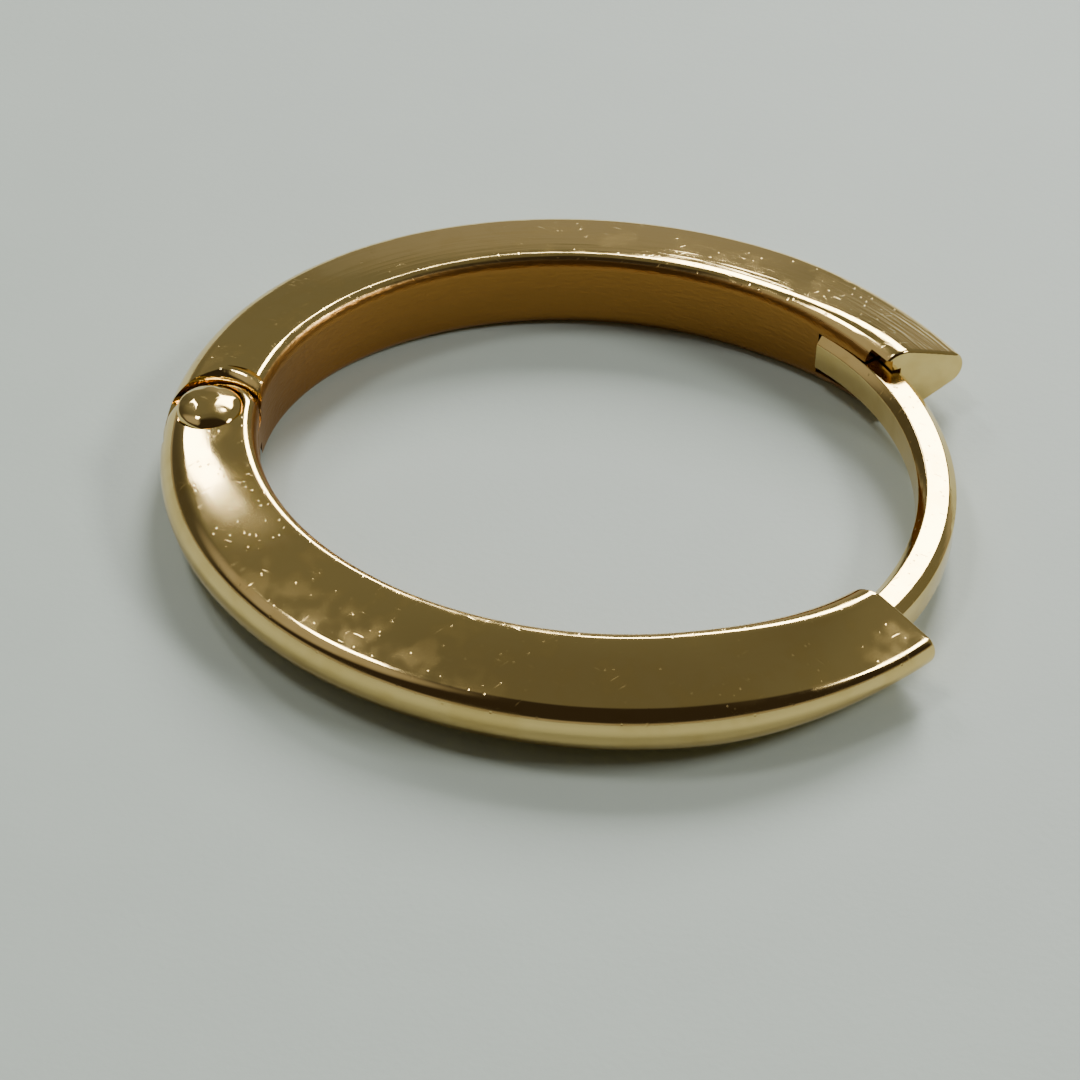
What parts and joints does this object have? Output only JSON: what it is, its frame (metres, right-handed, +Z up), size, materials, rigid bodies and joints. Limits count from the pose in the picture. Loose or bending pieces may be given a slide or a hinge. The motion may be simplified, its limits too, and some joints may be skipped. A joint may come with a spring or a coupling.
{
  "type": "hinged oval hoop earring",
  "caption": "Oval hinged hoop earring in polished yellow gold, with a rounded outer band, a riveted hinge and a curved post that closes into a slot.",
  "frame": {"origin": "under the middle of the closed earring, on the surface that it lies on", "axes": "+Z up, along the hinge pin; +X along the oval's length, from the hinge towards the post; -Y towards the front half"},
  "size_m": [0.0166, 0.0154, 0.002],
  "materials": {
    "gold": "polished yellow gold with fine scratches",
    "gold_rivet": "polished yellow gold, hammered rivet head"
  },
  "bodies": {
    "back": {"back_half": "gold"},
    "front": {"front_half": "gold", "hinge_pin": "gold_rivet"}
  },
  "joints": [
    {"name": "hoop_hinge", "type": "hinge", "parent": "back", "child": "front", "pos_m": [-0.00725, -0.00026, 0], "axis": [0, 0, -1], "range_deg": [0, 50]}
  ]
}
